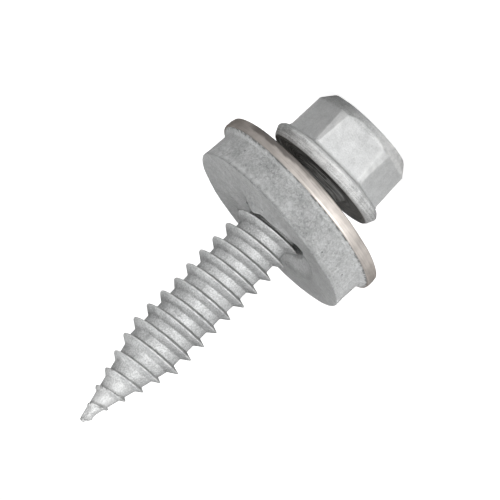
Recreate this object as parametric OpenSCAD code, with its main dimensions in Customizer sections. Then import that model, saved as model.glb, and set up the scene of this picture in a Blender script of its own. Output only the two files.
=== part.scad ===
// Hexagon-head tapping screw with a sharp point and a loose sealing washer.
// It stands on its head: the origin is the middle of the head's top face and +Z runs to the point.
// One hexagon flat faces -Y. The washer sits a little askew on the thread, as it was left.

/* [Head] */
// Height of the head, from its top face to the flange's underside
head_h = 6.6; // [5.5:0.1:9]
// Width across the hexagon's flats
hex_af = 9.65; // [8:0.05:9.9]
// How much the rounding takes off the radius of the hexagon's corners
corner_cut = 0.11; // [0.05:0.01:0.4]
// Taper of the corners, how much narrower they are in radius at the chamfer
corner_taper = 0.14; // [0:0.02:0.4]
// Width of the chamfer across the screw, at a corner
chamfer_w = 0.96; // [0.5:0.01:1.6]
// Length of the chamfer along the screw, at a corner
chamfer_h = 1.2; // [0.6:0.05:2]
// Width of the narrow band between the chamfer and the flat disc on the head's top
top_band_w = 0.74; // [0.2:0.02:1]
// How far that band falls away from the flat disc
top_band_drop = 0.12; // [0.02:0.02:0.3]

/* [Flange] */
// Diameter of the flange under the hexagon
flange_d = 12.5; // [12.1:0.1:16]
// Length of the flange's slanted rim, from the underside to its widest edge
rim_h = 1.02; // [0.6:0.02:1.6]
// How much smaller the underside's radius is than the widest edge's
rim_bevel = 0.45; // [0.1:0.05:0.8]
// Rounding of the flange's outer edge on the hexagon's side
rim_round = 0.6; // [0.2:0.05:0.7]
// Length of the fillet that runs from the flange up the hexagon
foot_h = 0.45; // [0.2:0.05:0.8]
// Width of the narrow seat ring round the underside's dished middle
seat_w = 0.45; // [0.2:0.05:1]
// Depth of the dish in the flange's underside
dish_depth = 0.2; // [0.05:0.05:0.5]
// How far the fillet under the head stands out from the shank
neck_fillet = 0.45; // [0.2:0.05:0.6]

/* [Thread] */
// Length of the screw from the flange's underside to the point
shank_len = 31.5; // [26:0.1:70]
// Outer diameter of the thread
thread_d = 6.5; // [5.2:0.05:7.6]
// Diameter of the core between the thread's turns
core_d = 5; // [4:0.02:5.4]
// Distance from one turn of the thread to the next
pitch = 1.743; // [1.4:0.001:2.4]
// Width of the thread's narrow crest, along the screw
crest_w = 0.15; // [0.05:0.01:0.3]
// Length of the thread's long flank, on the point's side
long_flank = 0.56; // [0.3:0.02:0.7]
// Length of the thread's steep flank, on the head's side
steep_flank = 0.2; // [0.1:0.02:0.4]
// Plain length of shank between the flange and where the thread starts to rise
plain_neck = 1.4; // [1:0.1:10]
// Length over which the thread rises to its full height
run_out = 1.6; // [0.8:0.1:3]

/* [Point] */
// Half angle of the pointed core, in degrees
point_half_angle = 14; // [10:0.5:25]
// Radius of the blunt end of the point
tip_r = 0.16; // [0.1:0.01:0.3]
// Distance from the point to the last crest, on the +X side
first_crest = 1.63; // [1.3:0.01:1.9]
// Distance from the point at which the thread has its full height
full_thread_at = 9.5; // [6:0.1:14]

/* [Washer] */
// Outer diameter of the steel washer
washer_d = 19.8; // [16:0.1:25]
// Thickness of the steel washer
washer_t = 1.3; // [0.8:0.05:2]
// Rounding of the steel washer's upper edge
washer_round = 0.35; // [0.1:0.05:0.5]
// Clearance of the steel washer's hole, how much wider it is than the thread
disc_clearance = 1; // [0.9:0.05:2.5]
// Distance from the flange's underside to the steel washer, as it was left
washer_space = 2.05; // [1.8:0.01:7]

/* [Sealing ring] */
// How far the rubber's sealing face stays inside the steel washer's edge
seal_inset = 0.7; // [0.4:0.05:1.2]
// Thickness of the rubber
seal_t = 3.4; // [2.5:0.05:4]
// Clearance of the rubber's hole, how much wider it is than the thread
seal_clearance = 0.8; // [0.75:0.05:2.5]
// How far the rubber's side wall is drawn in
seal_waist = 0.1; // [0:0.02:0.3]
// Height of the lip's straight edge, before it curves in to the side wall
lip_edge = 0.05; // [0.05:0.05:0.6]
// Gap between the lip's outer edge and the steel washer's edge
lip_inset = 0.1; // [0.05:0.05:0.4]
// Depth to which the sealing face dips at the hole
funnel_depth = 0.22; // [0.05:0.01:0.6]
// Width of that dip, from the hole outwards
funnel_w = 1.65; // [0.5:0.05:2.5]
// Lean of the washer towards +X, in degrees
lean_x = 4.2; // [0:0.05:5]
// Lean of the washer towards -Y, in degrees
lean_y = 4; // [0:0.05:5]
// Depth below the sealing face of the point about which it leans
pivot_depth = 1.2; // [0.8:0.1:2.5]

/* [Hidden] */
round_fn = 72;
arc_steps = 6;
turn_steps = 36;
hex_sides = 6;
// How far the threaded piece runs into the head
bury = 2.2;
// Distances from the point at which the thread's height reaches nothing and at which its turns stop
thread_fades_at = 1.3;
turns_end_at = 0.3;
// Length of the point's rounded end, and small steps at the flange's foot and the rubber's edge
tip_cap = 0.1;
foot_step = 0.05;
seal_edge = 0.12;
crest_r = thread_d / 2;
core_r = core_d / 2;
thread_h = crest_r - core_r;
tip_z = head_h + shank_len;
flange_r = flange_d / 2;
rim_z = head_h - rim_h;
foot_z = rim_z - rim_round - foot_h;
underside_r = flange_r - rim_bevel;
hex_r = hex_af / 2 / cos(180 / hex_sides);
corner_r = hex_r - corner_cut;
chamfer_ring_r = corner_r - chamfer_w;
top_disc_r = chamfer_ring_r - top_band_w;
thread_start_z = head_h + plain_neck;
washer_r = washer_d / 2;
washer_hole_r = (thread_d + disc_clearance) / 2;
seal_r = washer_r - seal_inset;
seal_hole_r = (thread_d + seal_clearance) / 2;
funnel_r = seal_hole_r + funnel_w;
seal_at = washer_space + washer_t + seal_t;

zinc = [0.70, 0.71, 0.72];
stainless = [0.66, 0.64, 0.62];
rubber = [0.58, 0.59, 0.59];

function limit(v, low, high) = max(low, min(high, v));

// Points of a quarter round, from the angle a to the angle b
function arc(x, z, r, a, b) = [for (k = [0 : arc_steps])
    let (t = a + (b - a) * k / arc_steps) [x + r * cos(t), z + r * sin(t)]];

// Radius of the core at the height z: a cone up to the full shank
function core_at(z) = min(core_r, tip_r + (tip_z - z) * tan(point_half_angle));

// Height of the thread at z: it rises after the neck and fades out towards the point, last of all at its end
function rise_at(z) = thread_h * min(
    limit((z - thread_start_z) / run_out, 0, 1),
    sqrt(limit((tip_z - z - thread_fades_at) / (full_thread_at - thread_fades_at), 0, 1)));

// The thread's section has four stations in each pitch, given as [offset, on the crest or not]
stations = [
    [-crest_w / 2 - steep_flank, 0],
    [-crest_w / 2, 1],
    [crest_w / 2, 1],
    [crest_w / 2 + long_flank, 0]];
lanes = len(stations);

// The crest passes this height at the angle 0, as many whole turns below the point as fit in the head
crest_z0 = let (top = tip_z - first_crest)
    top - pitch * ceil((top - head_h + bury) / pitch);
last_step = floor((tip_z - turns_end_at - stations[3][0] - crest_z0) / pitch * turn_steps);

function thread_point(lane, step) = let (
        angle = 360 * step / turn_steps,
        z = crest_z0 + pitch * step / turn_steps + stations[lane][0],
        r = core_at(z) + stations[lane][1] * rise_at(z))
    [r * cos(angle), r * sin(angle), z];

function index(lane, step) = step * lanes + lane;

// Core, thread and point are one surface that winds up the screw, closed at both ends
module threaded_shank() {
    points = [for (step = [0 : last_step]) for (lane = [0 : lanes - 1]) thread_point(lane, step)];
    cap_ring = [for (k = [0 : turn_steps - 1])
        let (angle = 360 * (last_step - turn_steps + k) / turn_steps)
        [tip_r * cos(angle), tip_r * sin(angle), tip_z - tip_cap]];
    foot = [0, 0, crest_z0 + pitch / 2];
    ring0 = len(points);
    foot_i = ring0 + turn_steps;
    apex_i = foot_i + 1;
    before = last_step - turn_steps;

    within = [for (step = [0 : last_step - 1]) for (lane = [0 : lanes - 2]) for (half = [0, 1])
        half == 0
            ? [index(lane, step), index(lane + 1, step), index(lane + 1, step + 1)]
            : [index(lane, step), index(lane + 1, step + 1), index(lane, step + 1)]];
    between = [for (step = [0 : before - 1]) for (half = [0, 1])
        half == 0
            ? [index(3, step), index(0, step + turn_steps), index(0, step + turn_steps + 1)]
            : [index(3, step), index(0, step + turn_steps + 1), index(3, step + 1)]];
    foot_edge = concat([for (step = [0 : turn_steps]) index(0, step)], [index(3, 0), index(2, 0), index(1, 0)]);
    foot_faces = [for (k = [0 : len(foot_edge) - 1])
        [foot_i, foot_edge[k], foot_edge[(k + 1) % len(foot_edge)]]];
    seam = [index(3, before), for (lane = [0 : 3]) index(lane, last_step), ring0];
    seam_faces = [for (k = [0 : len(seam) - 2]) [index(3, before + 1), seam[k], seam[k + 1]]];
    cone_faces = [for (k = [0 : turn_steps - 1]) for (half = [0, 1])
        let (next = (k + 1) % turn_steps,
             upper = k == turn_steps - 1 ? index(3, last_step) : index(3, before + k + 1))
        if (half == 0 || k > 0)
        half == 0
            ? [upper, ring0 + k, ring0 + next]
            : [index(3, before + k), ring0 + k, upper]];
    apex_faces = [for (k = [0 : turn_steps - 1]) [ring0 + k, apex_i, ring0 + (k + 1) % turn_steps]];
    polyhedron(
        points = concat(points, cap_ring, [foot, [0, 0, tip_z]]),
        faces = concat(within, between, foot_faces, seam_faces, cone_faces, apex_faces));
}

// Hexagon with its corners turned round, a chamfer at the top and a flat disc in the middle
module hexagon() {
    intersection() {
        linear_extrude(height = rim_z) circle(r = hex_r, $fn = hex_sides);
        rotate_extrude($fn = round_fn) polygon([
            [0, 0],
            [top_disc_r, 0],
            [chamfer_ring_r, top_band_drop],
            [corner_r - corner_taper, chamfer_h],
            [corner_r, foot_z + foot_h],
            [corner_r, rim_z],
            [0, rim_z]]);
    }
}

// Round flange with a slanted rim, a dished underside and a fillet up to the hexagon
module flange() {
    rotate_extrude($fn = round_fn) polygon(concat(
        [[0, foot_z], [hex_af / 2 + foot_step, foot_z]],
        arc(flange_r - rim_round, rim_z, rim_round, -90, 0),
        [[underside_r, head_h],
         [underside_r - seat_w, head_h],
         [underside_r - seat_w - dish_depth, head_h - dish_depth],
         [core_r + neck_fillet, head_h - dish_depth],
         [core_r + neck_fillet / 3, head_h - dish_depth + neck_fillet],
         [0, head_h - dish_depth + neck_fillet]]));
}

module screw() {
    color(zinc) union() {
        hexagon();
        flange();
        threaded_shank();
    }
}

// The washer's own frame: the middle of the sealing face, leaning on the thread
module on_washer() {
    translate([0, 0, head_h + seal_at - pivot_depth]) rotate([lean_y, lean_x, 0])
        translate([0, 0, pivot_depth]) children();
}

module washer_disc() {
    low = -seal_t - washer_t;
    color(stainless) on_washer() rotate_extrude($fn = round_fn) polygon(concat(
        [[washer_hole_r, low]],
        arc(washer_r - washer_round, low + washer_round, washer_round, -90, 0),
        [[washer_r, -seal_t], [washer_hole_r, -seal_t]]));
}

module sealing_ring() {
    lip_r = washer_r - lip_inset;
    waist_r = seal_r - seal_waist;
    curve = lip_r - waist_r;
    color(rubber) on_washer() rotate_extrude($fn = round_fn) polygon(concat(
        [[seal_hole_r, -seal_t], [lip_r, -seal_t], [lip_r, -seal_t + lip_edge]],
        arc(lip_r, -seal_t + lip_edge + curve, curve, -90, -180),
        [[waist_r, -seal_t / 3],
         [seal_r, -seal_edge],
         [seal_r - seal_edge, 0],
         [funnel_r, 0],
         [seal_hole_r, -funnel_depth]]));
}

screw();
washer_disc();
sealing_ring();
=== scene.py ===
"""Hexagon flange head screw with a sealing washer: the pieces, finishes and stage, built round the CAD frame.

The screw stands on its head, so heights run from the head's top face up to the point, and the camera is on the -Y
side. The pieces are shaped in millimetres, and finished() turns them to metres.
"""

import math
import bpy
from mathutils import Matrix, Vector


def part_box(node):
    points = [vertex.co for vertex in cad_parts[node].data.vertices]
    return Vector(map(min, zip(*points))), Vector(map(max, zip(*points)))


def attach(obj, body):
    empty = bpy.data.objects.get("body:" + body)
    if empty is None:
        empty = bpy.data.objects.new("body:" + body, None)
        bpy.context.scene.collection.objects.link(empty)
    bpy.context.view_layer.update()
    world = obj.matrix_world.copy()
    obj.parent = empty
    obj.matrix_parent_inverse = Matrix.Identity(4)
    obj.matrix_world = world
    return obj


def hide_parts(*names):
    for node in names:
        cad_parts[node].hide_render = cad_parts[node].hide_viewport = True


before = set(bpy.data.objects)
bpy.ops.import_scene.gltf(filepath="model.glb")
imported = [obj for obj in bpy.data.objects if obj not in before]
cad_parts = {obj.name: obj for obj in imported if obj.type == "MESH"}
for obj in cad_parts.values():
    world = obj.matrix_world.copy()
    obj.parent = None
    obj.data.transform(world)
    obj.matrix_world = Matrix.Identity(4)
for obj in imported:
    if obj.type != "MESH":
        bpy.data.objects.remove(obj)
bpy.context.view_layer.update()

from types import SimpleNamespace

import bmesh
import bpy
from mathutils import Matrix, Vector, noise

bl_info = {
    "name": "Flange Head Screw with Sealing Washer",
    "version": (1, 0, 0),
    "blender": (4, 5, 0),
    "location": "View3D > Sidebar > Screw",
    "description": "Builds a hexagon flange head screw, its steel washer and rubber ring, and the stage",
    "category": "Add Mesh",
}

MM = 0.001
POINT_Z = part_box("screw")[1].z / MM


# ---- sizes and colours that a user would change ----


def length(name, description, millimetres):
    """A length property, given in millimetres and kept in metres."""
    return bpy.props.FloatProperty(
        name=name, description=description, default=millimetres * MM, min=0.0, precision=5, unit="LENGTH"
    )


def angle(name, description, degrees):
    """An angle property, given in degrees and kept in radians."""
    return bpy.props.FloatProperty(
        name=name, description=description, default=math.radians(degrees), precision=2, unit="ROTATION"
    )


def linear(hex_colour):
    """An sRGB hex colour as linear red, green, blue and alpha."""
    parts = [int(hex_colour[i : i + 2], 16) / 255 for i in (1, 3, 5)]
    return [c / 12.92 if c <= 0.04045 else ((c + 0.055) / 1.055) ** 2.4 for c in parts] + [1.0]


def colour(name, description, hex_colour):
    """A colour property, given as an sRGB hex value."""
    return bpy.props.FloatVectorProperty(
        name=name, description=description, default=linear(hex_colour), size=4, min=0.0, max=1.0, subtype="COLOR"
    )


class ScrewHeadSizes(bpy.types.PropertyGroup):
    height: length("Head height", "From the head's top face to the flange's underside", 6.6)
    across_flats: length("Across flats", "Width of the hexagon across its flats", 9.65)
    corner_r: length("Corner radius", "Radius of the rounded-off corners at the flange", 5.48)
    corner_taper: length("Corner taper", "How much smaller that radius is at the chamfer", 0.14)
    chamfer_r: length("Chamfer ring", "Radius of the ring where the chamfer starts, on the head's top", 4.52)
    chamfer_h: length("Chamfer height", "Length of the chamfer along the screw, at a corner", 1.2)
    disc_r: length("Top disc", "Radius of the flat disc on the head's top", 3.76)
    band_drop: length("Top band drop", "How far the band round that disc falls away", 0.12)
    flange_r: length("Flange radius", "Radius of the flange at its widest edge", 6.27)
    foot_h: length("Foot height", "Length of the hexagon's foot, where its flats turn out to the flange", 0.3)
    foot_w: length("Foot width", "How far the flats turn out there", 0.5)


class ScrewThreadSizes(bpy.types.PropertyGroup):
    outer_r: length("Outer radius", "Radius of the thread's crest", 3.3)
    core_r: length("Core radius", "Radius of the core between the turns", 2.5)
    pitch: length("Pitch", "Distance from one turn to the next", 1.736)
    crest_w: length("Crest width", "Width of the crest along the screw", 0.1)
    long_flank: length("Long flank", "Length of the flank on the point's side", 0.57)
    steep_flank: length("Steep flank", "Length of the flank on the head's side", 0.24)
    last_crest: length("Last crest", "Distance from the point to the last crest, on the +X side", 1.6)
    full_at: length("Full height at", "Distance from the point at which the thread has its full height", 9.4)
    half_angle: angle("Point half angle", "Half angle of the pointed core", 14.0)
    tip_r: length("Tip radius", "Radius of the blunt end of the point", 0.215)


class ScrewWasherSizes(bpy.types.PropertyGroup):
    outer_r: length("Washer radius", "Radius of the steel washer", 9.87)
    steel_t: length("Steel thickness", "Thickness of the steel washer", 1.26)
    steel_hole_r: length("Steel hole radius", "Radius of the steel washer's hole", 3.75)
    rubber_r: length("Rubber radius", "Radius of the rubber's sealing face", 9.22)
    rubber_t: length("Rubber thickness", "Thickness of the rubber", 3.25)
    rubber_hole_r: length("Rubber hole radius", "Radius of the hole through the rubber", 3.6)
    face_z: length("Sealing face height", "Height of the middle of the sealing face", 13.275)
    pivot_depth: length("Lean depth", "Depth below the sealing face of the point about which the washer leans", 1.2)
    lean_x: angle("Lean towards +X", "Lean of the steel towards +X", 3.95)
    lean_y: angle("Lean towards -Y", "Lean of the steel towards the camera", 3.2)
    shift_x: length("Shift", "How far the washer sits to the -X side of the screw's axis", 0.07)
    more_x: angle("Rubber's own lean towards +X", "How much further the rubber's face leans towards +X", 0.1)
    more_y: angle("Rubber's own lean towards -Y", "How much further the rubber's face leans towards the camera", 0.9)


class ScrewFinishes(bpy.types.PropertyGroup):
    zinc_light: colour("Zinc flake, light", "The light grains of the screw's coating", "#D8D9D9")
    zinc_dark: colour("Zinc flake, dark", "The dark grains of the screw's coating", "#A0A1A1")
    # Also the colour of painted highlights on the flange rim's front and the chamfer's left
    zinc_rubbed: colour("Zinc flake, rubbed", "The coating where crests and corners are rubbed bright", "#E2E2E1")
    # Painted shade: these colour the flange's underside, crevices and other shaded places, and the dark specks near the
    # point; the light one gives the turning marks in that shade
    soot: colour("Underside", "The oily dark film under the flange", "#383837")
    soot_light: colour("Underside, light", "The turning marks that show through that film", "#828280")
    # The light steel also takes the rim's painted highlight, and the dark steel takes its painted shade
    steel_light: colour("Stainless, light", "The washer's sheared, bright metal", "#C9C2BC")
    steel_dark: colour("Stainless, dark", "The washer's duller, drawn metal", "#66625F")
    rubber_light: colour("Rubber, light", "The rubber's chalky bloom", "#CBCCCC")
    rubber_dark: colour("Rubber, dark", "The rubber under the bloom", "#8E8F8F")
    # The colour of painted highlights on the rubber's edge, ridge and wall
    rubber_worn: colour("Rubber, worn", "The rubber where its edges are rubbed pale", "#D6D7D7")
    # The colour of painted shade in pits, folds and crevices, and of the dark joint to the steel
    rubber_deep: colour("Rubber, deep", "The rubber in pits, folds and crevices", "#2B2B2A")


class ScrewStageSettings(bpy.types.PropertyGroup):
    distance: length("Camera distance", "From the camera to the middle of the picture", 500.0)
    elevation: angle("Camera elevation", "How far the camera looks down, on the point's side", 7.0)
    roll: angle("Picture turn", "How far the picture is turned to the left", 135.27)
    aim_z: length("Aim height", "Height on the screw that is in the middle of the picture", 15.84)
    lens: bpy.props.FloatProperty(name="Lens", description="Focal length in millimetres", default=391.0)


SETTINGS = {
    "screw_head": ScrewHeadSizes,
    "screw_thread": ScrewThreadSizes,
    "screw_washer": ScrewWasherSizes,
    "screw_finishes": ScrewFinishes,
    "screw_stage": ScrewStageSettings,
}


# ---- small tools ----


def in_millimetres(group):
    """A group's sizes by name: lengths in millimetres and angles in radians."""
    kinds = group.bl_rna.properties
    return SimpleNamespace(
        **{key: getattr(group, key) / (MM if kinds[key].unit == "LENGTH" else 1) for key in group.__annotations__}
    )


def smooth_step(low, high, value):
    """0 below low, 1 above high, and a soft rise between them."""
    t = max(0.0, min(1.0, (value - low) / (high - low)))
    return t * t * (3 - 2 * t)


def hump(value, middle, width):
    """1 at the middle, and soon 0 further away than the width."""
    return math.exp(-(((value - middle) / width) ** 2))


def aside(turn, middle):
    """How far a turn is from the middle one, from -180 to 180 degrees."""
    return (turn - middle + 180) % 360 - 180


def turned_round(corners, step):
    """A line through corners given as (radius, height, rounding), with no gap in it over the step."""
    line = []
    for i, (r, z, rounding) in enumerate(corners):
        here = Vector((r, z))
        if rounding and 0 < i < len(corners) - 1:
            before, after = (Vector(corners[j][:2]) - here for j in (i - 1, i + 1))
            reach = rounding / math.tan(before.angle(after) / 2)
            a = here + before.normalized() * min(reach, 0.49 * before.length)
            b = here + after.normalized() * min(reach, 0.49 * after.length)
            line += [a.lerp(here, t).lerp(here.lerp(b, t), t) for t in (0, 0.25, 0.5, 0.75, 1)]
        else:
            line.append(here)
    filled = line[:1]
    for a, b in zip(line, line[1:]):
        parts = max(1, math.ceil((b - a).length / step))
        filled += [a.lerp(b, k / parts) for k in range(1, parts + 1)]
    return filled


def put_in_order(bm):
    """Sorts edges and faces by their vertices. Spin leaves them in a new order each run, and merging depends on it."""
    bm.verts.index_update()
    many = len(bm.verts)
    for parts in (bm.edges, bm.faces):
        parts.sort(key=lambda part: min(v.index for v in part.verts) * many + max(v.index for v in part.verts))


def repeated(bm, doublings, move):
    """Doubles the mesh this many times over. move(n) gives the matrix that puts a copy n places on."""
    for k in range(doublings):
        more = bmesh.ops.duplicate(bm, geom=bm.verts[:] + bm.edges[:] + bm.faces[:])
        verts = [v for v in more["geom"] if isinstance(v, bmesh.types.BMVert)]
        bmesh.ops.transform(bm, matrix=move(2**k), verts=verts)
    bmesh.ops.remove_doubles(bm, verts=bm.verts, dist=1e-4)


def lathe(line, steps, closed=False):
    """The line turned once round the screw's axis. closed joins its end to its start."""
    bm = bmesh.new()
    verts = [bm.verts.new((p.x, 0, p.y)) for p in line]
    following = verts[1:] + verts[:1] if closed else verts[1:]
    edges = [bm.edges.new(pair) for pair in zip(verts, following)]
    doublings = 3
    parts = 2**doublings
    part = math.tau / parts
    bmesh.ops.spin(bm, geom=verts + edges, cent=(0, 0, 0), axis=(0, 0, 1), angle=part, steps=steps // parts)
    put_in_order(bm)
    repeated(bm, doublings, lambda places: Matrix.Rotation(part * places, 4, "Z"))
    bmesh.ops.recalc_face_normals(bm, faces=bm.faces)
    return bm


def roughen(bm, bumps, where):
    """Moves the surface in and out by soft noise. A bump is given as (width, height), and where(place) is its share."""
    bm.normal_update()
    shifts = []
    for v in bm.verts:
        share = where(v.co)
        lift = sum(height * noise.noise(v.co / width) for width, height in bumps) if share else 0.0
        shifts.append((v, v.normal * (lift * share)))
    for v, shift in shifts:
        v.co += shift


def shades(bm, *names):
    """New values on the vertices, by which the finishes change over the surface."""
    return [bm.verts.layers.float.new(name) for name in names]


def in_scene(bm, name, finish):
    """The mesh as an object at the scene's origin, with its finish."""
    mesh = bpy.data.meshes.new(name)
    bm.to_mesh(mesh)
    bm.free()
    mesh.materials.append(bpy.data.materials[finish])
    item = bpy.data.objects.new(name, mesh)
    bpy.context.scene.collection.objects.link(item)
    return item


def finished(bm, name, body, node, finish):
    """Makes the mesh a smooth piece, in metres, that rides on its body and stands for its CAD node."""
    bmesh.ops.scale(bm, vec=(MM, MM, MM), verts=bm.verts)
    piece = in_scene(bm, name, finish)
    piece.data.shade_smooth()
    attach(piece, body)
    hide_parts(node)


def add(tree, kind, inputs=None, **settings):
    """Adds a node with its settings, and sets or links its inputs."""
    node = tree.nodes.new(kind)
    for key, value in settings.items():
        setattr(node, key, value)
    for key, value in (inputs or {}).items():
        if isinstance(value, bpy.types.NodeSocket):
            tree.links.new(value, node.inputs[key])
        else:
            node.inputs[key].default_value = value
    return node


def new_material(name):
    """The node tree of a new material, with no nodes in it."""
    material = bpy.data.materials.new(name)
    material.use_nodes = True
    material.node_tree.nodes.clear()
    return material.node_tree


def per_metre(millimetres):
    """The scale of a noise whose grains are this wide."""
    return 1 / (millimetres * MM)


# ---- finishes ----

ZINC, STEEL, RUBBER = "zinc_flake_coating", "stainless_steel_strip", "moulded_epdm_rubber"


def crevice(tree, reach, low, high):
    """How far a place is closed in by what stands within reach: 1 in a crevice, 0 in the open."""
    open_air = add(tree, "ShaderNodeAmbientOcclusion", {"Distance": reach * MM}, samples=6)
    crevice_shade = {"Value": open_air.outputs["AO"], "From Min": low, "From Max": high, "To Min": 1.0, "To Max": 0.0}
    return add(tree, "ShaderNodeMapRange", crevice_shade).outputs[0]


def turning_marks(tree, place, millimetres):
    """Fine lines round the screw's axis, as wide as this, that slowly change along their length."""
    across = add(tree, "ShaderNodeVectorMath", {0: place, 1: (1.0, 1.0, 0.0)}, operation="MULTIPLY")
    radius = add(tree, "ShaderNodeVectorMath", {0: across.outputs[0]}, operation="LENGTH")
    level = add(tree, "ShaderNodeSeparateXYZ", {0: place}).outputs[2]
    drawn = add(tree, "ShaderNodeCombineXYZ", {0: radius.outputs["Value"], 1: level})
    slow = add(
        tree,
        "ShaderNodeVectorMath",
        {0: across.outputs[0], 1: (0.06, 0.06, 0.0), 2: drawn.outputs[0]},
        operation="MULTIPLY_ADD",
    )
    lines = add(
        tree,
        "ShaderNodeTexNoise",
        {"Vector": slow.outputs[0], "Scale": per_metre(millimetres), "Detail": 3.0, "Roughness": 0.7},
    )
    return lines.outputs["Fac"]


def zinc_flake():
    """Zinc flake coating, dipped and baked on a cold-headed and thread-rolled blank: satin grey, neither paint nor
    bare metal, with a faint cloudy mottle, fine grains, a brighter line where crests and corners are rubbed, painted
    highlights on the flange's rim and the chamfer, dark specks, and painted shade in the crevices and on the screw's
    shaded parts. The real grains are a few hundredths of a millimetre, drawn coarser here to show."""
    finish = bpy.context.scene.screw_finishes
    cloud, grain = per_metre(0.9), 0.13
    tree = new_material(ZINC)
    place = add(tree, "ShaderNodeTexCoord").outputs["Object"]

    # Grain: clouds, flakes and turning marks, with more contrast where it is coarse
    clouds = add(tree, "ShaderNodeTexNoise", {"Vector": place, "Scale": cloud, "Detail": 3.0, "Roughness": 0.6})
    flakes = {"Vector": place, "Scale": per_metre(grain), "Detail": 2.0, "Roughness": 0.7}
    grains = add(tree, "ShaderNodeTexNoise", flakes)
    marks = turning_marks(tree, place, grain)
    turned = add(tree, "ShaderNodeAttribute", attribute_name="turned").outputs["Fac"]
    half = add(tree, "ShaderNodeMath", {0: turned, 1: 0.55}, operation="MULTIPLY")
    fine = add(tree, "ShaderNodeMix", {0: half.outputs[0], 2: grains.outputs["Fac"], 3: marks})
    coarse = add(tree, "ShaderNodeAttribute", attribute_name="coarse").outputs["Fac"]
    grainy = add(tree, "ShaderNodeMapRange", {"Value": coarse, "To Min": 0.55, "To Max": 0.75})
    both = add(tree, "ShaderNodeMix", {0: grainy.outputs[0], 2: clouds.outputs["Fac"], 3: fine.outputs[0]})
    low = add(tree, "ShaderNodeMapRange", {"Value": coarse, "To Min": 0.2, "To Max": 0.44})
    high = add(tree, "ShaderNodeMapRange", {"Value": coarse, "To Min": 0.8, "To Max": 0.56})
    contrast = {"Value": both.outputs[0], "From Min": low.outputs[0], "From Max": high.outputs[0]}
    share = add(tree, "ShaderNodeMapRange", contrast)
    flake_colours = {0: share.outputs[0], 6: finish.zinc_dark, 7: finish.zinc_light}
    body = add(tree, "ShaderNodeMix", flake_colours, data_type="RGBA")

    # Rubbed crests and corners, and painted highlights on the flange rim's front and the chamfer's left
    rubbed_and_highlight = add(tree, "ShaderNodeAttribute", attribute_name="rubbed_and_highlight").outputs["Fac"]
    shiny = add(tree, "ShaderNodeMix", {0: rubbed_and_highlight, 6: body.outputs[2], 7: finish.zinc_rubbed}, data_type="RGBA")

    # Painted shade: the pieces' own painted shade and dark specks, and painted shade in crevices, but not where the
    # head meets the floor
    painted_shade_and_specks = add(tree, "ShaderNodeAttribute", attribute_name="painted_shade_and_specks").outputs["Fac"]
    height = add(tree, "ShaderNodeSeparateXYZ", {0: place}).outputs[2]
    off_floor = add(tree, "ShaderNodeMapRange", {"Value": height, "From Min": 3.0 * MM, "From Max": 4.5 * MM})
    crevice_shade_off_floor = {0: crevice(tree, 1.6, 0.2, 0.5), 1: off_floor.outputs[0]}
    crevice_shade = add(tree, "ShaderNodeMath", crevice_shade_off_floor, operation="MULTIPLY")
    shade_and_specks_all = add(tree, "ShaderNodeMath", {0: painted_shade_and_specks, 1: crevice_shade.outputs[0]}, operation="MAXIMUM")
    clear = add(tree, "ShaderNodeMapRange", {"Value": marks, "From Min": 0.42, "From Max": 0.7})
    shade_and_speck_colour = add(tree, "ShaderNodeMix", {0: clear.outputs[0], 6: finish.soot, 7: finish.soot_light}, data_type="RGBA")
    base = add(tree, "ShaderNodeMix", {0: shade_and_specks_all.outputs[0], 6: shiny.outputs[2], 7: shade_and_speck_colour.outputs[2]}, data_type="RGBA")

    # Gloss: a part of the coating's flakes shine as metal, and the painted shade and specks hide them
    bare = add(tree, "ShaderNodeMath", {0: 1.0, 1: shade_and_specks_all.outputs[0]}, operation="SUBTRACT")
    metal = add(tree, "ShaderNodeMath", {0: bare.outputs[0], 1: 0.24}, operation="MULTIPLY")
    satin = {"Value": clouds.outputs["Fac"], "From Min": 0.3, "From Max": 0.7, "To Min": 0.3, "To Max": 0.42}
    rough = add(tree, "ShaderNodeMapRange", satin)
    rough = add(tree, "ShaderNodeMath", {0: coarse, 1: 0.08, 2: rough.outputs[0]}, operation="MULTIPLY_ADD")
    relief = add(tree, "ShaderNodeMapRange", {"Value": coarse, "To Min": 0.3, "To Max": 1.0})
    grain_height = {"Height": both.outputs[0], "Strength": relief.outputs[0], "Distance": 0.09 * MM}
    bump = add(tree, "ShaderNodeBump", grain_height)
    surface = {
        "Base Color": base.outputs[2],
        "Roughness": rough.outputs[0],
        "Normal": bump.outputs[0],
        "Metallic": metal.outputs[0],
        "Specular IOR Level": 0.0,
        "Specular Tint": linear("#606060"),
    }
    shader = add(tree, "ShaderNodeBsdfPrincipled", surface)
    add(tree, "ShaderNodeOutputMaterial", {0: shader.outputs[0]})


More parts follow.
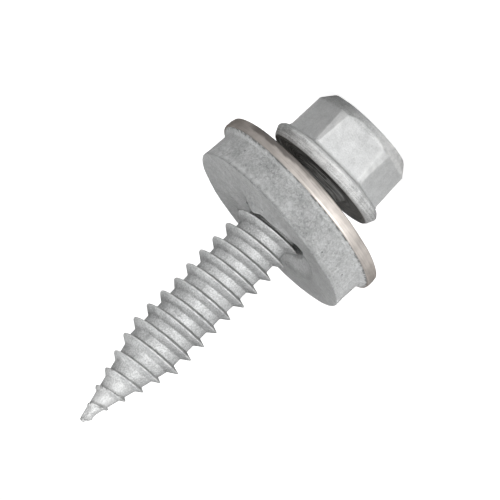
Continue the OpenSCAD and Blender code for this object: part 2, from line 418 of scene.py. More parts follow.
def stainless_sheet():
    """Stainless steel strip, cold-rolled and punched: warm grey with fine lines round the washer, a bright sheared band
    on its rim and beside it, towards the head, a painted dark band; on the rim, painted shade towards +X and a painted
    highlight towards -X."""
    finish, washer = bpy.context.scene.screw_finishes, bpy.context.scene.screw_washer
    tree = new_material(STEEL)
    place = add(tree, "ShaderNodeTexCoord").outputs["Object"]
    pivot = (0, 0, washer.face_z - washer.pivot_depth)
    lean = (washer.lean_y, washer.lean_x, 0)
    upright = add(
        tree, "ShaderNodeMapping", {"Vector": place, "Location": pivot, "Rotation": lean}, vector_type="TEXTURE"
    ).outputs[0]
    lines = turning_marks(tree, upright, 0.16)
    clouds = add(tree, "ShaderNodeTexNoise", {"Vector": place, "Scale": per_metre(1.4), "Detail": 3.0})
    both = add(tree, "ShaderNodeMix", {0: 0.45, 2: lines, 3: clouds.outputs["Fac"]})
    share = add(tree, "ShaderNodeMapRange", {"Value": both.outputs[0], "From Min": 0.1, "From Max": 0.65})
    rim_shade_and_highlight = add(tree, "ShaderNodeAttribute", attribute_name="rim_shade_and_highlight").outputs["Fac"]
    bright = add(tree, "ShaderNodeMath", {0: 1.0, 1: rim_shade_and_highlight}, operation="SUBTRACT")
    # Grain tone, turned to the dark steel where the rim's painted shade lies
    worn = add(tree, "ShaderNodeMath", {0: share.outputs[0], 1: bright.outputs[0]}, operation="MULTIPLY")
    metals = {0: worn.outputs[0], 6: finish.steel_dark, 7: finish.steel_light}
    base = add(tree, "ShaderNodeMix", metals, data_type="RGBA")
    bump = add(tree, "ShaderNodeBump", {"Height": lines, "Strength": 0.4, "Distance": 0.03 * MM})
    surface = {
        "Base Color": base.outputs[2],
        "Normal": bump.outputs[0],
        "Metallic": 0.6,
        "Roughness": 0.4,
        "Specular IOR Level": 0.0,
        "Specular Tint": linear("#707070"),
    }
    shader = add(tree, "ShaderNodeBsdfPrincipled", surface)
    add(tree, "ShaderNodeOutputMaterial", {0: shader.outputs[0]})


def moulded_rubber():
    """EPDM rubber, moulded on the steel: matt mid grey with a chalky bloom, a gritty grain, faint flow lines that run
    out from the hole, painted shade as small dark pits, in folds and in crevices, a dark joint to the steel, and
    painted highlights along some edges."""
    finish = bpy.context.scene.screw_finishes
    tree = new_material(RUBBER)
    place = add(tree, "ShaderNodeTexCoord").outputs["Object"]

    # Bloom: clouds and grit all over, and on the sealing face flow lines and a duller tone
    cloudy = {"Vector": place, "Scale": per_metre(2.2), "Detail": 4.0, "Roughness": 0.6}
    clouds = add(tree, "ShaderNodeTexNoise", cloudy)
    gritty = {"Vector": place, "Scale": per_metre(0.27), "Detail": 4.0, "Roughness": 0.75, "Distortion": 0.8}
    grit = add(tree, "ShaderNodeTexNoise", gritty)
    both = add(tree, "ShaderNodeMix", {0: 0.7, 2: clouds.outputs["Fac"], 3: grit.outputs["Fac"]})
    flat = add(tree, "ShaderNodeVectorMath", {0: place, 1: (1.0, 1.0, 0.0)}, operation="MULTIPLY")
    outwards = add(tree, "ShaderNodeVectorMath", {0: flat.outputs[0]}, operation="NORMALIZE")
    flowing = {"Vector": outwards.outputs[0], "Scale": 11.0, "Detail": 2.0, "Roughness": 0.5}
    flow = add(tree, "ShaderNodeTexNoise", flowing)
    sealing = add(tree, "ShaderNodeAttribute", attribute_name="sealing").outputs["Fac"]
    on_face = add(tree, "ShaderNodeMath", {0: sealing, 1: 0.14}, operation="MULTIPLY")
    mixed = add(tree, "ShaderNodeMix", {0: on_face.outputs[0], 2: both.outputs[0], 3: flow.outputs["Fac"]})
    faded = {0: on_face.outputs[0], 1: -0.6, 2: mixed.outputs[0]}
    duller = add(tree, "ShaderNodeMath", faded, operation="MULTIPLY_ADD")
    share = add(tree, "ShaderNodeMapRange", {"Value": duller.outputs[0], "From Min": 0.36, "From Max": 0.62})
    tones = {0: share.outputs[0], 6: finish.rubber_dark, 7: finish.rubber_light}
    bloom = add(tree, "ShaderNodeMix", tones, data_type="RGBA")

    # Dark: painted shade in pits, folds and crevices, and the dark joint to the steel
    pits = add(tree, "ShaderNodeTexVoronoi", {"Vector": place, "Scale": per_metre(1.4), "Randomness": 1.0})
    small = {"Value": pits.outputs["Distance"], "From Min": 0.04, "From Max": 0.09, "To Min": 0.8, "To Max": 0.0}
    pit = add(tree, "ShaderNodeMapRange", small)
    shade_and_joint = add(tree, "ShaderNodeAttribute", attribute_name="shade_and_joint").outputs["Fac"]
    dark = add(tree, "ShaderNodeMath", {0: pit.outputs[0], 1: shade_and_joint}, operation="MAXIMUM")
    crevice_shade = {0: dark.outputs[0], 1: crevice(tree, 1.6, 0.12, 0.4)}
    dark = add(tree, "ShaderNodeMath", crevice_shade, operation="MAXIMUM")
    # Painted highlights on the edges, the ridge and the wall
    pale = add(tree, "ShaderNodeAttribute", attribute_name="pale").outputs["Fac"]
    bloom = add(tree, "ShaderNodeMix", {0: pale, 6: bloom.outputs[2], 7: finish.rubber_worn}, data_type="RGBA")
    deep = {0: dark.outputs[0], 6: bloom.outputs[2], 7: finish.rubber_deep}
    base = add(tree, "ShaderNodeMix", deep, data_type="RGBA")
    bump = add(tree, "ShaderNodeBump", {"Height": grit.outputs["Fac"], "Strength": 0.8, "Distance": 0.1 * MM})
    surface = {
        "Base Color": base.outputs[2],
        "Normal": bump.outputs[0],
        "Roughness": 0.8,
        "Diffuse Roughness": 1.0,
        "Specular IOR Level": 0.08,
        "Sheen Weight": 0.3,
    }
    shader = add(tree, "ShaderNodeBsdfPrincipled", surface)
    add(tree, "ShaderNodeOutputMaterial", {0: shader.outputs[0]})


class SCREW_OT_finishes(bpy.types.Operator):
    """Make the three finishes that the pieces take"""

    bl_idname = "screw.finishes"
    bl_label = "Finishes"

    def execute(self, context):
        zinc_flake()
        stainless_sheet()
        moulded_rubber()
        return {"FINISHED"}


# ---- head ----

ROUND_STEPS = 240
FLAT_STEP = 0.15
HEX_SIDES = 6
FLAT_TURNS = [math.tau * k / HEX_SIDES - math.pi / 2 for k in range(HEX_SIDES)]
FLATS = [Vector((math.cos(turn), math.sin(turn), 0)) for turn in FLAT_TURNS]
# How far the flats' feet end from the flange's underside, and how much longer the chamfer is over a flat's middle
FOOT_END, CHAMFER_RISE = 1.42, 0.24


def head_outline(size, shank_r):
    """Half of the head's outline as it would be without flats."""
    top, corner, flange, chamfer = size.height, size.corner_r, size.flange_r, size.chamfer_r
    return turned_round(
        [
            # Flat disc on the head's top, the band round it and the chamfer
            (0, 0, 0),
            (size.disc_r, 0, 0.12),
            (chamfer, size.band_drop, 0.1),
            (chamfer + 0.35, size.chamfer_h * 0.46, 0.1),
            (corner - size.corner_taper, size.chamfer_h, 0.08),
            # A corner of the hexagon, and the slope of the flange
            (corner, top - 1.88, 0.12),
            (flange - 0.47, top - 1.55, 0.2),
            # The flange's rim
            (flange - 0.04, top - 1.08, 0.15),
            (flange, top - 0.9, 0.12),
            (flange - 0.3, top - 0.22, 0.1),
            (flange - 0.5, top, 0.08),
            # Its underside: a narrow bearing ring with a shallow recess inside
            (flange - 0.94, top, 0.06),
            (flange - 1.16, top - 0.2, 0.08),
            (shank_r + 0.5, top - 0.2, 0.2),
            # Fillet up the shank, and the end that is hidden in it
            (shank_r + 0.12, top + 0.3, 0.2),
            (shank_r - 0.2, top + 0.32, 0),
            (shank_r - 0.2, top - 0.4, 0),
            (0, top - 0.4, 0),
        ],
        FLAT_STEP,
    )


def press_flats(bm, size, apothem, foot):
    """Presses in the six flats, whose feet turn out to the flange. Returns the vertices along their edges."""
    reach = size.foot_h + 0.03
    for normal in FLATS:
        faces = [
            f
            for f in bm.faces
            if f.calc_center_median().z < foot + reach and f.calc_center_median().dot(normal) > apothem * 0.8
        ]
        edges, verts = (e for f in faces for e in f.edges), (v for f in faces for v in f.verts)
        around = list(dict.fromkeys([*verts, *edges, *faces]))
        bmesh.ops.bisect_plane(bm, geom=around, dist=0.004, plane_co=normal * apothem, plane_no=normal)
    edge_line = []
    for v in bm.verts:
        if v.co.z > foot + reach or v.co.xy.length < size.disc_r:
            continue
        turn_out = max(0.0, min(1.0, (v.co.z - foot) / reach))
        limit = apothem + size.foot_w * (1 - math.sqrt(1 - turn_out**2))
        out = max(v.co.dot(normal) for normal in FLATS)
        if out > limit:
            v.co.xy *= limit / out
        if abs(out - limit) < 0.03:
            edge_line.append(v)
    bmesh.ops.remove_doubles(bm, verts=bm.verts, dist=0.01)
    return [v for v in edge_line if v.is_valid]


class SCREW_OT_head(bpy.types.Operator):
    """Build the hexagon head and its flange"""

    bl_idname = "screw.head"
    bl_label = "Head and Flange"

    def execute(self, context):
        size = in_millimetres(context.scene.screw_head)
        shank_r = in_millimetres(context.scene.screw_thread).core_r
        top, corner, flange, chamfer_h = size.height, size.corner_r, size.flange_r, size.chamfer_h
        apothem, foot = size.across_flats / 2, size.height - FOOT_END - size.foot_h
        bm = lathe(head_outline(size, shank_r), ROUND_STEPS)
        for v in bm.verts:
            radius, turn = v.co.xy.length, math.atan2(v.co.y, v.co.x)
            on_flat = 0.5 + 0.5 * math.cos(HEX_SIDES * (turn + math.pi / 2))
            near_edge = smooth_step(apothem - 0.25, apothem, radius) * smooth_step(corner, apothem + 0.1, radius)
            v.co.z += CHAMFER_RISE * on_flat * near_edge * smooth_step(chamfer_h + 0.8, chamfer_h, v.co.z)
        edge_line = press_flats(bm, size, apothem, foot)
        bmesh.ops.smooth_vert(bm, verts=edge_line, factor=0.5, use_axis_x=True, use_axis_y=True, use_axis_z=True)
        edge_line = set(edge_line)

        # A cold-headed blank's faint bumps, and the wavy ring round the top disc
        roughen(bm, [(1.6, 0.012), (0.4, 0.005)], lambda place: smooth_step(0.0, 0.5, place.z))
        for v in bm.verts:
            around = v.co.xy.normalized()
            wave = noise.noise(Vector((around.x, around.y, 0.3)) * 2.6)
            v.co.xy += around * (0.13 * wave * hump(v.co.z, 0.1, 0.3) * smooth_step(3.4, 4.2, v.co.xy.length))

        rubbed_and_highlight, painted_shade_and_specks, turned, coarse = shades(bm, "rubbed_and_highlight", "painted_shade_and_specks", "turned", "coarse")
        for v in bm.verts:
            radius = v.co.xy.length
            # Sides as the camera has them: -X is left
            left = smooth_step(0.3, -2.8, v.co.x)
            right, far_right = smooth_step(-1.5, 3.0, v.co.x), smooth_step(3.5, 5.5, v.co.x)
            # Rubbed bright: the corners; painted highlight: the rim's front and the chamfer's left
            edge = 0.45 * hump(radius, corner - 0.05, 0.12) if chamfer_h < v.co.z < foot else 0.0
            rim = smooth_step(flange - 0.35, flange - 0.1, radius) * hump(v.co.x, 0.3, 3.6)
            bevel = smooth_step(chamfer_h + 0.1, chamfer_h - 0.1, v.co.z)
            bevel = 0.7 * bevel * smooth_step(apothem - 0.5, apothem - 0.2, radius)
            v[rubbed_and_highlight] = max(
                edge * (0.6 + noise.noise(v.co / 0.5)),
                rim * (0.45 + 0.6 * noise.noise(v.co / 0.6)),
                bevel * left * (0.9 + noise.noise(v.co / 0.4)),
            )
            # Painted shade: the flange's underside, lighter towards -X, the chamfer's right and the rim's far right; a
            # dark broken line along the flats' edges at the chamfer
            shade_under_flange = smooth_step(flange - 0.42, flange - 0.52, radius) * smooth_step(top - 0.3, top - 0.22, v.co.z)
            shade_under_flange *= 0.98 - 0.1 * smooth_step(1.5, 3.5, v.co.x) - 0.33 * smooth_step(-0.5, -4.5, v.co.x)
            if v in edge_line and v.co.z < chamfer_h + 0.4:
                shade_under_flange = 0.55 * smooth_step(-0.4, 0.3, noise.noise(v.co / 0.4))
            rim_end_shade = 0.2 * far_right * smooth_step(flange - 0.5, flange - 0.2, radius)
            v[painted_shade_and_specks] = max(shade_under_flange, 0.33 * right * bevel, rim_end_shade)
            # Die and turning marks: the chamfer and the flange
            slope = smooth_step(corner + 0.3, corner + 0.5, radius) * smooth_step(top - 1.3, top - 1.1, v.co.z)
            v[turned] = v[coarse] = bevel + slope
        finished(bm, "screw_head", "screw_body", "screw", ZINC)
        return {"FINISHED"}


# ---- thread and point ----

TURN_STEPS = 108
THREAD_STEP = 0.1
# How far the thread's piece reaches into the head, and the bare neck between the flange and the thread
INTO_HEAD, NECK = 0.6, 1.4
# How far short of the CAD point it ends, and how far from there the thread has faded out
TIP_SHORT, FADED_AT = 0.1, 1.3


def rolled_thread(size, start, turns):
    """The thread's section wound up the screw from the start, past the point."""
    half, steep, flank = size.crest_w / 2, size.steep_flank, size.long_flank
    root_z = (size.pitch + flank - steep) / 2
    section = turned_round(
        [
            (size.core_r, root_z - size.pitch, 0),
            (size.core_r, -half - steep, 0.1),
            (size.outer_r, -half, 0.05),
            (size.outer_r, half, 0.05),
            (size.core_r, half + flank, 0.15),
            (size.core_r, root_z, 0),
        ],
        THREAD_STEP,
    )
    bm = bmesh.new()
    verts = [bm.verts.new((p.x, 0, start + p.y)) for p in section]
    edges = [bm.edges.new(pair) for pair in zip(verts, verts[1:])]
    bmesh.ops.spin(
        bm,
        geom=verts + edges,
        cent=(0, 0, 0),
        axis=(0, 0, 1),
        dvec=(0, 0, size.pitch / TURN_STEPS),
        angle=math.tau,
        steps=TURN_STEPS,
    )
    put_in_order(bm)
    doublings = math.ceil(math.log2(turns + 2))
    repeated(bm, doublings, lambda places: Matrix.Translation((0, 0, size.pitch * places)))
    spare = [v for v in bm.verts if v.co.z > POINT_Z + size.pitch]
    bmesh.ops.delete(bm, geom=spare, context="VERTS")
    return bm


class SCREW_OT_thread(bpy.types.Operator):
    """Build the shank with its rolled thread and pinched point"""

    bl_idname = "screw.thread"
    bl_label = "Thread and Point"

    def execute(self, context):
        size, head = in_millimetres(context.scene.screw_thread), in_millimetres(context.scene.screw_head)
        core, pitch, full = size.core_r, size.pitch, size.full_at
        height, half, steep, slope = size.outer_r - core, size.crest_w / 2, size.steep_flank, math.tan(size.half_angle)
        low_z, neck, tip_z = head.height - INTO_HEAD, head.height + NECK, POINT_Z - TIP_SHORT
        last_crest = POINT_Z - size.last_crest
        turns = math.ceil((last_crest - low_z) / pitch) + 1
        start = last_crest - turns * pitch
        bm = rolled_thread(size, start, turns)
        rubbed_and_highlight, painted_shade_and_specks, coarse = shades(bm, "rubbed_and_highlight", "painted_shade_and_specks", "coarse")
        near_tip = [
            e
            for e in bm.edges
            if all(POINT_Z - 2.4 < v.co.z < POINT_Z + 0.3 for v in e.verts)
            and abs(e.verts[0].co.z - e.verts[1].co.z) > 0.03
        ]
        bmesh.ops.subdivide_edges(bm, edges=near_tip, cuts=1, use_grid_fill=True)
        for v in bm.verts:
            turn = math.atan2(v.co.y, v.co.x)
            back = tip_z - v.co.z
            # Share of the thread's height: 0 on the core, 1 on the crest. It gets thinner towards the point
            share = (math.hypot(v.co.x, v.co.y) - core) / height
            width = 0.3 + 0.45 * smooth_step(2.5, 5.0, back) + 0.25 * smooth_step(7.0, 9.5, back)
            share = max(0.0, 1 - (1 - share) / width)
            # Its run-out at the neck, its fading to the point, and nicks and wear of the crest
            grown = math.sqrt(max(0.0, min(1.0, (back - FADED_AT) / (full - FADED_AT))))
            rise = min(
                smooth_step(neck, neck + 1.6, v.co.z),
                grown * (0.78 + 0.22 * smooth_step(full - 0.9, full, back)),
            )
            ragged = 0.05 + 0.55 * smooth_step(5.5, 3.0, back)
            nick = noise.noise(Vector((math.cos(turn), math.sin(turn), v.co.z * 0.5)) * 6.5)
            rise *= 1 - ragged * max(0.0, nick) * share
            worn = 0.16 * hump(v.co.z, 22.8, 1.3) - 0.04 * noise.noise(Vector((0, 0, v.co.z / 2.3)))
            # The core, its cone and blunt tip, four pinch marks of the dies, a nub on the -X side and a slight bow
            radius = min(core - 0.05 * smooth_step(18.0, 26.0, v.co.z), size.tip_r + max(back, 0.0) * slope)
            radius *= math.sqrt(max(0.0, min(1.0, back / 0.07)))
            pinch = smooth_step(1.7, 1.1, back) * smooth_step(0.1, 0.5, back)
            radius += pinch * 0.035 * math.cos(4 * turn + 1.1)
            radius += 0.2 * hump(back, 0.7, 0.3) * max(0.0, -math.cos(turn)) ** 3
            radius += (height - worn) * share * rise
            bow = 0.03 + 0.05 * hump(v.co.z, 31.0, 3.0)
            v.co.x = radius * math.cos(turn) - bow
            v.co.y = radius * math.sin(turn)
            # Crests rubbed bright in broken lines, and the bare point
            broken = smooth_step(-0.35, 0.45, noise.noise(v.co / 0.35))
            v[rubbed_and_highlight] = max(0.8 * smooth_step(0.93, 1.0, share) * broken, 0.3 * smooth_step(7.0, 2.5, back))
            # Painted shade at the neck and on the steep flank, and dark specks on the crests near the point
            beside = (v.co.z - start - pitch * (turn / math.tau - 0.5)) % pitch - pitch / 2
            shaded = hump(beside, -half - 0.6 * steep, 0.6 * steep) * (0.35 + 0.3 * noise.noise(v.co / 0.7))
            specks = smooth_step(0.0, 0.3, noise.noise(v.co / 0.22))
            scuffed = 0.6 * smooth_step(6.5, 4.0, back) * smooth_step(0.5, 0.8, share) * specks
            v[painted_shade_and_specks] = max(0.95 * smooth_step(neck + 1.5, neck + 0.8, v.co.z), shaded, scuffed)
            v[coarse] = 0.75
        for plane_z, up in ((low_z, -1), (tip_z - 0.004, 1)):
            bmesh.ops.bisect_plane(
                bm,
                geom=bm.verts[:] + bm.edges[:] + bm.faces[:],
                dist=1e-5,
                plane_co=(0, 0, plane_z),
                plane_no=(0, 0, up),
                clear_outer=True,
            )
        bmesh.ops.holes_fill(bm, edges=[e for e in bm.edges if e.is_boundary], sides=0)
        bmesh.ops.recalc_face_normals(bm, faces=bm.faces)
        roughen(bm, [(0.9, 0.02), (0.3, 0.008)], lambda place: smooth_step(0.15, 1.2, tip_z - place.z))
        finished(bm, "screw_thread", "screw_body", "screw", ZINC)
        return {"FINISHED"}


# ---- washer ----

RUBBER_ROUND_STEPS = 288
RUBBER_STEP = 0.12
# The dish round the rubber's hole
DISH_W, DISH_DEPTH = 2.4, 0.5
# Folds that run out from the hole's edge: turn in degrees, length, depth, slant and width
CREASES = (
    (-24.0, 0.9, 0.12, -1.0, 0.3),
    (-40.0, 0.6, 0.1, 0.5, 0.2),
    (195.0, 1.1, 0.12, 0.6, 0.3),
)
# Where the thread has drawn the hole's edge: middle and half width in degrees, how far it goes up, and how far in
SWELLS = (
    (-78.0, 44.0, 0.75, 0.5),
    (-15.0, 45.0, 0.4, 0.5),
    (-40.0, 14.0, 0.5, 0.2),
    (-140.0, 12.0, -0.15, -0.4),
)
# Where the sealing face's edge bulges: turn and half width in degrees, and height
BULGES = ((-125, 42, 0.15), (55, 40, 0.08))


def leaning(washer):
    """From the washer's own frame, in which the sealing face's middle is the origin, to the row frame."""
    return (
        Matrix.Translation((-washer.shift_x, 0, washer.face_z - washer.pivot_depth))
        @ Matrix.Rotation(washer.lean_x, 4, "Y")
        @ Matrix.Rotation(washer.lean_y, 4, "X")
        @ Matrix.Translation((0, 0, washer.pivot_depth))
    )


class SCREW_OT_steel_washer(bpy.types.Operator):
    """Build the stamped steel washer"""

    bl_idname = "screw.steel_washer"
    bl_label = "Steel Washer"

    def execute(self, context):
        size = in_millimetres(context.scene.screw_washer)
        outer, hole = size.outer_r, size.steel_hole_r
        rubber_side = -size.rubber_t
        flange_side = rubber_side - size.steel_t
        outline = turned_round(
            [
                ((hole + outer) / 2, flange_side, 0),
                (hole, flange_side, 0.12),
                (hole, rubber_side, 0.05),
                (outer - 0.05, rubber_side, 0.05),
                (outer, rubber_side - 0.2, 0.1),
                (outer - 0.01, flange_side + 0.56, 0.06),
                (outer - 0.09, flange_side + 0.12, 0.1),
                (outer - 0.3, flange_side, 0.06),
                ((hole + outer) / 2, flange_side, 0),
            ],
            FLAT_STEP,
        )
        bm = lathe(outline[:-1], ROUND_STEPS, closed=True)
        (rim_shade_and_highlight,) = shades(bm, "rim_shade_and_highlight")
        for v in bm.verts:
            # Painted shade: a dark band with a ragged edge along the rim, mostly towards +X, and a greyer rim towards
            # +X; a painted highlight towards -X, and a little more painted shade at the front
            rim = smooth_step(outer - 0.6, outer - 0.2, v.co.xy.length)
            ragged = 0.16 * noise.noise(Vector((v.co.x, v.co.y, 0)) / 0.9)
            edge = flange_side + 0.35 + 0.25 * smooth_step(-1.0, 5.0, v.co.x) + ragged
            band = smooth_step(edge + 0.08, edge - 0.08, v.co.z)
            band = band * smooth_step(-2.5, 3.5, v.co.x) * smooth_step(9.3, 7.5, v.co.x)
            band *= 0.86 + 0.14 * smooth_step(2.5, 5.0, v.co.x)
            painted_highlight_and_shade = 0.2 * hump(v.co.x, -3.4, 2.0) - 0.14 * hump(v.co.x, 0.5, 2.0)
            v[rim_shade_and_highlight] = rim * (max(band, 0.55 * smooth_step(0.0, 8.0, v.co.x)) - painted_highlight_and_shade)
        roughen(bm, [(2.5, 0.02), (0.5, 0.008)], lambda place: smooth_step(rubber_side, rubber_side - 0.1, place.z))
        bmesh.ops.transform(bm, matrix=leaning(size), verts=bm.verts)
        finished(bm, "steel_washer", "washer", "washer_disc", STEEL)
        return {"FINISHED"}


class SCREW_OT_rubber_ring(bpy.types.Operator):
    """Build the moulded rubber sealing ring"""

    bl_idname = "screw.rubber_ring"
    bl_label = "Rubber Ring"

    def execute(self, context):
        size = in_millimetres(context.scene.screw_washer)
        outer, thick, hole = size.rubber_r, size.rubber_t, size.rubber_hole_r
        dish, lip = hole + DISH_W, size.outer_r - 0.08
        outline = turned_round(
            [
                # Sealing face, and the wall down to the flared lip on the steel
                ((dish + outer) / 2, 0, 0),
                (outer + 0.02, 0, 0.12),
                (outer - 0.05, -0.9, 0.4),
                (outer - 0.06, -thick + 0.36, 0.12),
                (lip - 0.12, -thick + 0.02, 0.05),
                (lip - 0.1, -thick, 0),
                # Hole, and the dish round it
                (hole, -thick, 0.05),
                (hole, -DISH_DEPTH - 0.35, 0.12),
                (hole + 0.2, -DISH_DEPTH, 0.15),
                (dish, 0, 0.12),
                ((dish + outer) / 2, 0, 0),
            ],
            RUBBER_STEP,
        )
        bm = lathe(outline[:-1], RUBBER_ROUND_STEPS, closed=True)
        shade_and_joint, pale, sealing = shades(bm, "shade_and_joint", "pale", "sealing")
        for v in bm.verts:
            radius, turn = v.co.xy.length, math.degrees(math.atan2(v.co.y, v.co.x))
            near_hole = smooth_step(dish, hole + 0.1, radius)
            # Share of the rubber's thickness, 0 on the steel and 1 on the sealing face
            level = max(0.0, 1 + v.co.z / thick)
            for middle, half, height, inwards in SWELLS:
                share = hump(aside(turn, middle), 0, half) * near_hole * smooth_step(0.6, 0.9, level)
                v.co.z += height * share
                v.co.xy *= 1 - inwards * share / radius
            bulge = sum(height * hump(aside(turn, middle), 0, half) for middle, half, height in BULGES)
            v.co.z += bulge * smooth_step(6.0, 9.0, radius) * level
            v.co.x -= 0.2 * near_hole * level
            v.co.y -= 0.25 * near_hole * level
            v[sealing] = smooth_step(-0.3, 0.0, v.co.z) * smooth_step(outer + 0.1, outer - 0.1, radius)
            # Painted highlights: the face's edge towards -X, the dish's ridge towards -X, and a strip of the wall
            # towards +X
            on_top = smooth_step(0.8, 0.9, level)
            right = smooth_step(-2.0, 1.0, v.co.x)
            edge = hump(math.hypot(radius - outer, v.co.z), 0, 0.12)
            strip = 0.6 * right * hump(v.co.z, -0.4, 0.28) * smooth_step(outer - 0.4, outer - 0.2, radius)
            lit_ridge = hump(radius, dish - 0.1, 0.12) * hump(aside(turn, -145), 0, 30) * on_top
            v[pale] = max(edge * 0.35 * (1 - right), lit_ridge, strip) * smooth_step(-0.4, 0.3, noise.noise(v.co / 0.5))
            # Painted shade: the dish's ridge, the face's edge towards +X, the face all over and more at its -X end; and
            # the dark joint to the steel
            ridge = hump(radius, dish, 0.07) * hump(aside(turn, -90), 0, 50) * on_top
            joint = smooth_step(0.16, 0.05, v.co.z + thick) * smooth_step(hole + 3.0, lip - 0.6, radius)
            v[shade_and_joint] = max(
                0.4 * ridge,
                0.3 * right * edge,
                0.75 * joint * smooth_step(-0.3, 0.15, noise.noise(v.co / 0.3)),
                v[sealing] * (0.13 + 0.2 * hump(v.co.x, -5.5, 3.0)),
            )
        for turn, reach, depth, slant, width in CREASES:
            along = Vector((math.cos(math.radians(turn)), math.sin(math.radians(turn)), 0))
            across = Vector((-along.y, along.x, 0))
            for v in bm.verts:
                out = v.co.dot(along)
                if out < 0 or v.co.z < -1.2:
                    continue
                cut = hump(v.co.dot(across) - slant * (out - hole), 0, width)
                cut *= smooth_step(hole + reach + 0.2, hole + reach - 0.2, out)
                v.co.z -= depth * cut
                # Painted shade in the folds
                v[shade_and_joint] = max(v[shade_and_joint], 0.62 * cut)
        roughen(
            bm,
            [(3.0, 0.03), (0.7, 0.014), (0.3, 0.006)],
            lambda place: smooth_step(-thick, -thick + 0.2, place.z) * smooth_step(hole, hole + 0.6, place.xy.length),
        )
        for v in bm.verts:
            level = max(0.0, 1 + v.co.z / thick)
            v.co.z += level * (v.co.y * math.tan(size.more_y) - v.co.x * math.tan(size.more_x))
        bmesh.ops.transform(bm, matrix=leaning(size), verts=bm.verts)
        clear_of_thread = in_millimetres(context.scene.screw_thread).outer_r + 0.06
        for v in bm.verts:
            v.co.xy *= max(1.0, clear_of_thread / v.co.xy.length)
        finished(bm, "rubber_ring", "washer", "sealing_ring", RUBBER)
        return {"FINISHED"}


# ---- stage ----

FLOOR_HALF_WIDTH = 6.0
SENSOR_WIDTH = 36.0
# Soft studio lamps: name, direction from the screw, distance, width and height in metres, power in watts
LAMPS = (
    ("lamp_front", (0.0, -1.0, 0.1), 0.5, 0.25, 0.12, 0.8),
    ("lamp_front_left", (-0.42, -0.9, 0.12), 0.5, 0.25, 0.14, 0.85),
    ("lamp_left", (-0.74, -0.62, 0.15), 0.5, 0.25, 0.14, 0.52),
    ("lamp_back", (0.35, 0.9, 0.25), 0.5, 0.25, 0.2, 0.5),
    ("lamp_over", (0.16, -0.2, 0.95), 0.6, 0.35, 0.35, 2.0),
)


def seen(tree):
    """1 for a ray that sees the surroundings, also in gloss or glass, and 0 for one that gathers light."""
    ray = add(tree, "ShaderNodeLightPath").outputs
    both = add(tree, "ShaderNodeMath", {0: ray["Is Camera Ray"], 1: ray["Is Glossy Ray"]}, operation="MAXIMUM")
    three = add(tree, "ShaderNodeMath", {0: both.outputs[0], 1: ray["Is Transmission Ray"]}, operation="MAXIMUM")
    return three.outputs[0]


def pale_floor():
    """A matt floor that looks white, a little greyer near the screw, and takes its shadow."""
    tree = new_material("pale_floor")
    place = add(tree, "ShaderNodeTexCoord").outputs["Object"]
    far = add(tree, "ShaderNodeVectorMath", {0: place}, operation="LENGTH").outputs["Value"]
    fade = {"Value": far, "From Min": 0.05, "From Max": 0.5, "To Min": 0.85, "To Max": 1.0}
    away = add(tree, "ShaderNodeMapRange", fade)
    lift = add(tree, "ShaderNodeMath", {0: seen(tree), 1: away.outputs[0]}, operation="MULTIPLY")
    glow = add(tree, "ShaderNodeEmission", {"Strength": lift.outputs[0]})
    matt = add(tree, "ShaderNodeBsdfDiffuse", {"Color": linear("#D8D8D8")})
    both = add(tree, "ShaderNodeAddShader", {0: glow.outputs[0], 1: matt.outputs[0]})
    add(tree, "ShaderNodeOutputMaterial", {0: both.outputs[0]})
    bm = bmesh.new()
    bmesh.ops.create_grid(bm, x_segments=1, y_segments=1, size=FLOOR_HALF_WIDTH)
    floor = in_scene(bm, "floor", "pale_floor")


def pale_room(scene):
    """Surroundings that look white and give only a little light."""
    world = bpy.data.worlds.new("pale_room")
    scene.world = world
    world.use_nodes = True
    tree = world.node_tree
    tree.nodes.clear()
    strength = add(tree, "ShaderNodeMapRange", {"Value": seen(tree), "To Min": 0.03, "To Max": 1.0})
    sky = add(tree, "ShaderNodeBackground", {"Color": (1, 1, 1, 1), "Strength": strength.outputs[0]})
    add(tree, "ShaderNodeOutputWorld", {0: sky.outputs[0]})


def hang_lamps(scene, aim):
    """The lamps, all turned to the aim."""
    for name, direction, distance, width, tall, power in LAMPS:
        lamp = bpy.data.lights.new(name, "AREA")
        lamp.shape, lamp.size, lamp.size_y, lamp.energy = "RECTANGLE", width, tall, power
        held = bpy.data.objects.new(name, lamp)
        towards = Vector(direction).normalized()
        held.location = aim + towards * distance
        held.rotation_euler = towards.to_track_quat("Z", "Y").to_euler()
        scene.collection.objects.link(held)


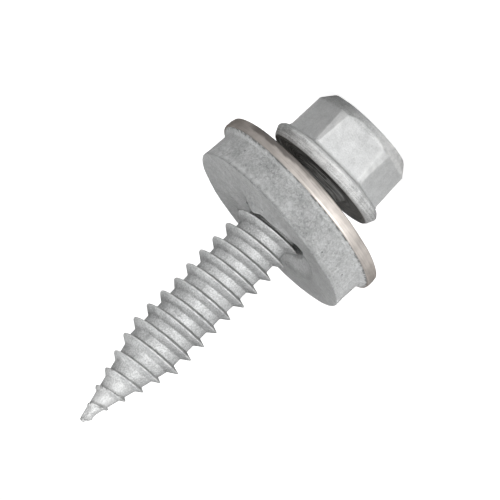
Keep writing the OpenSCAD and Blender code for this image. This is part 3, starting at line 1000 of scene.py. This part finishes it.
def place_camera(scene, stage, aim):
    """The camera, on the -Y side, with its picture turned by the roll."""
    camera = bpy.data.cameras.new("camera")
    camera.type = "PERSP"
    camera.sensor_width, camera.lens = SENSOR_WIDTH, stage.lens
    camera.clip_start, camera.clip_end = 0.01, 20.0
    look = Vector((0, math.cos(stage.elevation), -math.sin(stage.elevation)))
    level, upright = Vector((1, 0, 0)), Vector((0, math.sin(stage.elevation), math.cos(stage.elevation)))
    right = math.cos(stage.roll) * level - math.sin(stage.roll) * upright
    up = math.sin(stage.roll) * level + math.cos(stage.roll) * upright
    held = bpy.data.objects.new("camera", camera)
    place = Matrix((right, up, -look)).transposed().to_4x4()
    place.translation = aim - look * stage.distance
    held.matrix_world = place
    scene.collection.objects.link(held)
    scene.camera = held


class SCREW_OT_stage(bpy.types.Operator):
    """Set up the floor, the lamps, the pale surroundings and the camera"""

    bl_idname = "screw.stage"
    bl_label = "Stage"

    def execute(self, context):
        scene, stage = context.scene, context.scene.screw_stage
        aim = Vector((0, 0, stage.aim_z))
        scene.view_settings.view_transform = "Standard"
        pale_floor()
        pale_room(scene)
        hang_lamps(scene, aim)
        place_camera(scene, stage, aim)
        return {"FINISHED"}


# ---- add-on ----


class SCREW_PT_panel(bpy.types.Panel):
    """The screw's sizes, colours and steps"""

    bl_idname = "SCREW_PT_panel"
    bl_label = "Flange Head Screw"
    bl_space_type = "VIEW_3D"
    bl_region_type = "UI"
    bl_category = "Screw"

    def draw(self, context):
        for settings in SETTINGS:
            group = getattr(context.scene, settings)
            box = self.layout.box()
            for key in group.__annotations__:
                box.prop(group, key)
        for operator in OPERATORS:
            self.layout.operator(operator.bl_idname)


OPERATORS = (
    SCREW_OT_finishes,
    SCREW_OT_head,
    SCREW_OT_thread,
    SCREW_OT_steel_washer,
    SCREW_OT_rubber_ring,
    SCREW_OT_stage,
)
CLASSES = (*SETTINGS.values(), *OPERATORS, SCREW_PT_panel)


def register():
    for cls in CLASSES:
        bpy.utils.register_class(cls)
    for name, group in SETTINGS.items():
        setattr(bpy.types.Scene, name, bpy.props.PointerProperty(type=group))


def unregister():
    for name in SETTINGS:
        delattr(bpy.types.Scene, name)
    for cls in reversed(CLASSES):
        bpy.utils.unregister_class(cls)


def main():
    register()
    for operator in OPERATORS:
        family, action = operator.bl_idname.split(".")
        getattr(getattr(bpy.ops, family), action)()


if __name__ == "__main__":
    main()
